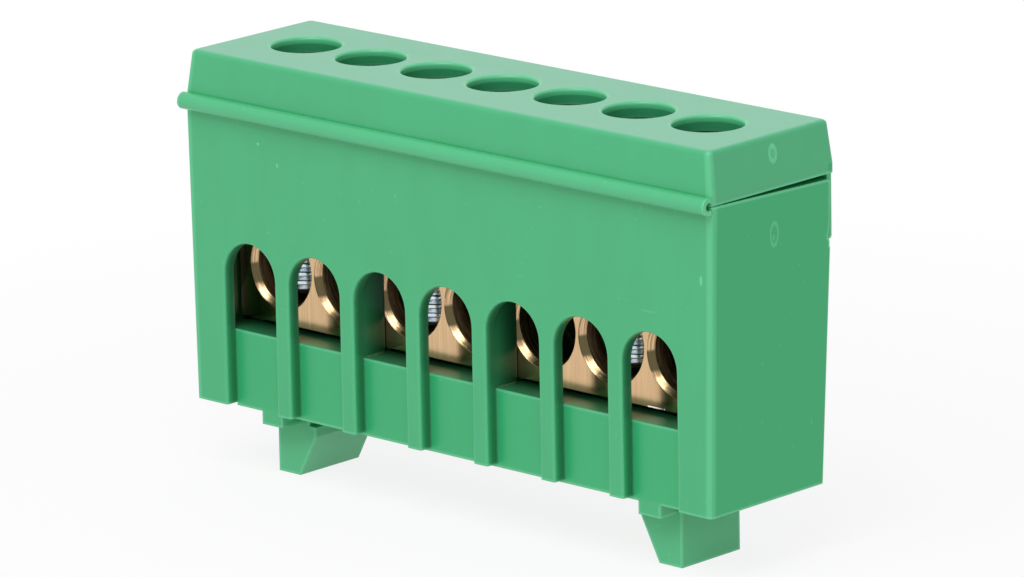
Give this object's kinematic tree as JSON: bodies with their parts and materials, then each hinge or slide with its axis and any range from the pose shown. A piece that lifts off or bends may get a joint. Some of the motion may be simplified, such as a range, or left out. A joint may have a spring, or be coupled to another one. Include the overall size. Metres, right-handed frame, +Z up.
{
  "type": "earth terminal bar",
  "caption": "Brass earth bar with clamp screws in a green slotted housing with a flip cover, on feet that snap onto a rail.",
  "frame": {"origin": "middle of the footprint, at the soles of the feet", "axes": "+X along the bar, -Y towards the wire windows, +Z up towards the cover"},
  "size_m": [0.055, 0.0149, 0.0338],
  "materials": {
    "housing": "satin green polyamide moulding",
    "cover": "satin green polyamide moulding",
    "hinge_strap": "satin green polyamide moulding",
    "earth_bar": "drawn brass with a fine vertical grain",
    "screw": "bright zinc plating"
  },
  "bodies": {
    "housing": {"housing": "housing", "hinge_strap": "hinge_strap", "earth_bar": "earth_bar"},
    "cover": {"cover": "cover"},
    "screw_1": {"screw_1": "screw"},
    "screw_2": {"screw_2": "screw"},
    "screw_3": {"screw_3": "screw"},
    "screw_4": {"screw_4": "screw"},
    "screw_5": {"screw_5": "screw"},
    "screw_6": {"screw_6": "screw"},
    "screw_7": {"screw_7": "screw"}
  },
  "joints": [
    {"name": "cover_hinge", "type": "hinge", "parent": "housing", "child": "cover", "pos_m": [0, -0.00675, 0.02978], "axis": [1, 0, 0], "range_deg": [0, 175], "deforming": ["hinge_strap"]},
    {"name": "screw_1_travel", "type": "slide", "parent": "housing", "child": "screw_1", "axis": [0, 0, 1], "range_m": [-0.00035, 0.00534]},
    {"name": "screw_2_travel", "type": "slide", "parent": "housing", "child": "screw_2", "axis": [0, 0, 1], "range_m": [-0.0002, 0.00549]},
    {"name": "screw_3_travel", "type": "slide", "parent": "housing", "child": "screw_3", "axis": [0, 0, 1], "range_m": [-0.00005, 0.00564]},
    {"name": "screw_4_travel", "type": "slide", "parent": "housing", "child": "screw_4", "axis": [0, 0, 1], "range_m": [-0.00025, 0.00544]},
    {"name": "screw_5_travel", "type": "slide", "parent": "housing", "child": "screw_5", "axis": [0, 0, 1], "range_m": [-0.0034, 0.00229]},
    {"name": "screw_6_travel", "type": "slide", "parent": "housing", "child": "screw_6", "axis": [0, 0, 1], "range_m": [-0.00035, 0.00534]},
    {"name": "screw_7_travel", "type": "slide", "parent": "housing", "child": "screw_7", "axis": [0, 0, 1], "range_m": [-0.0001, 0.00559]}
  ]
}
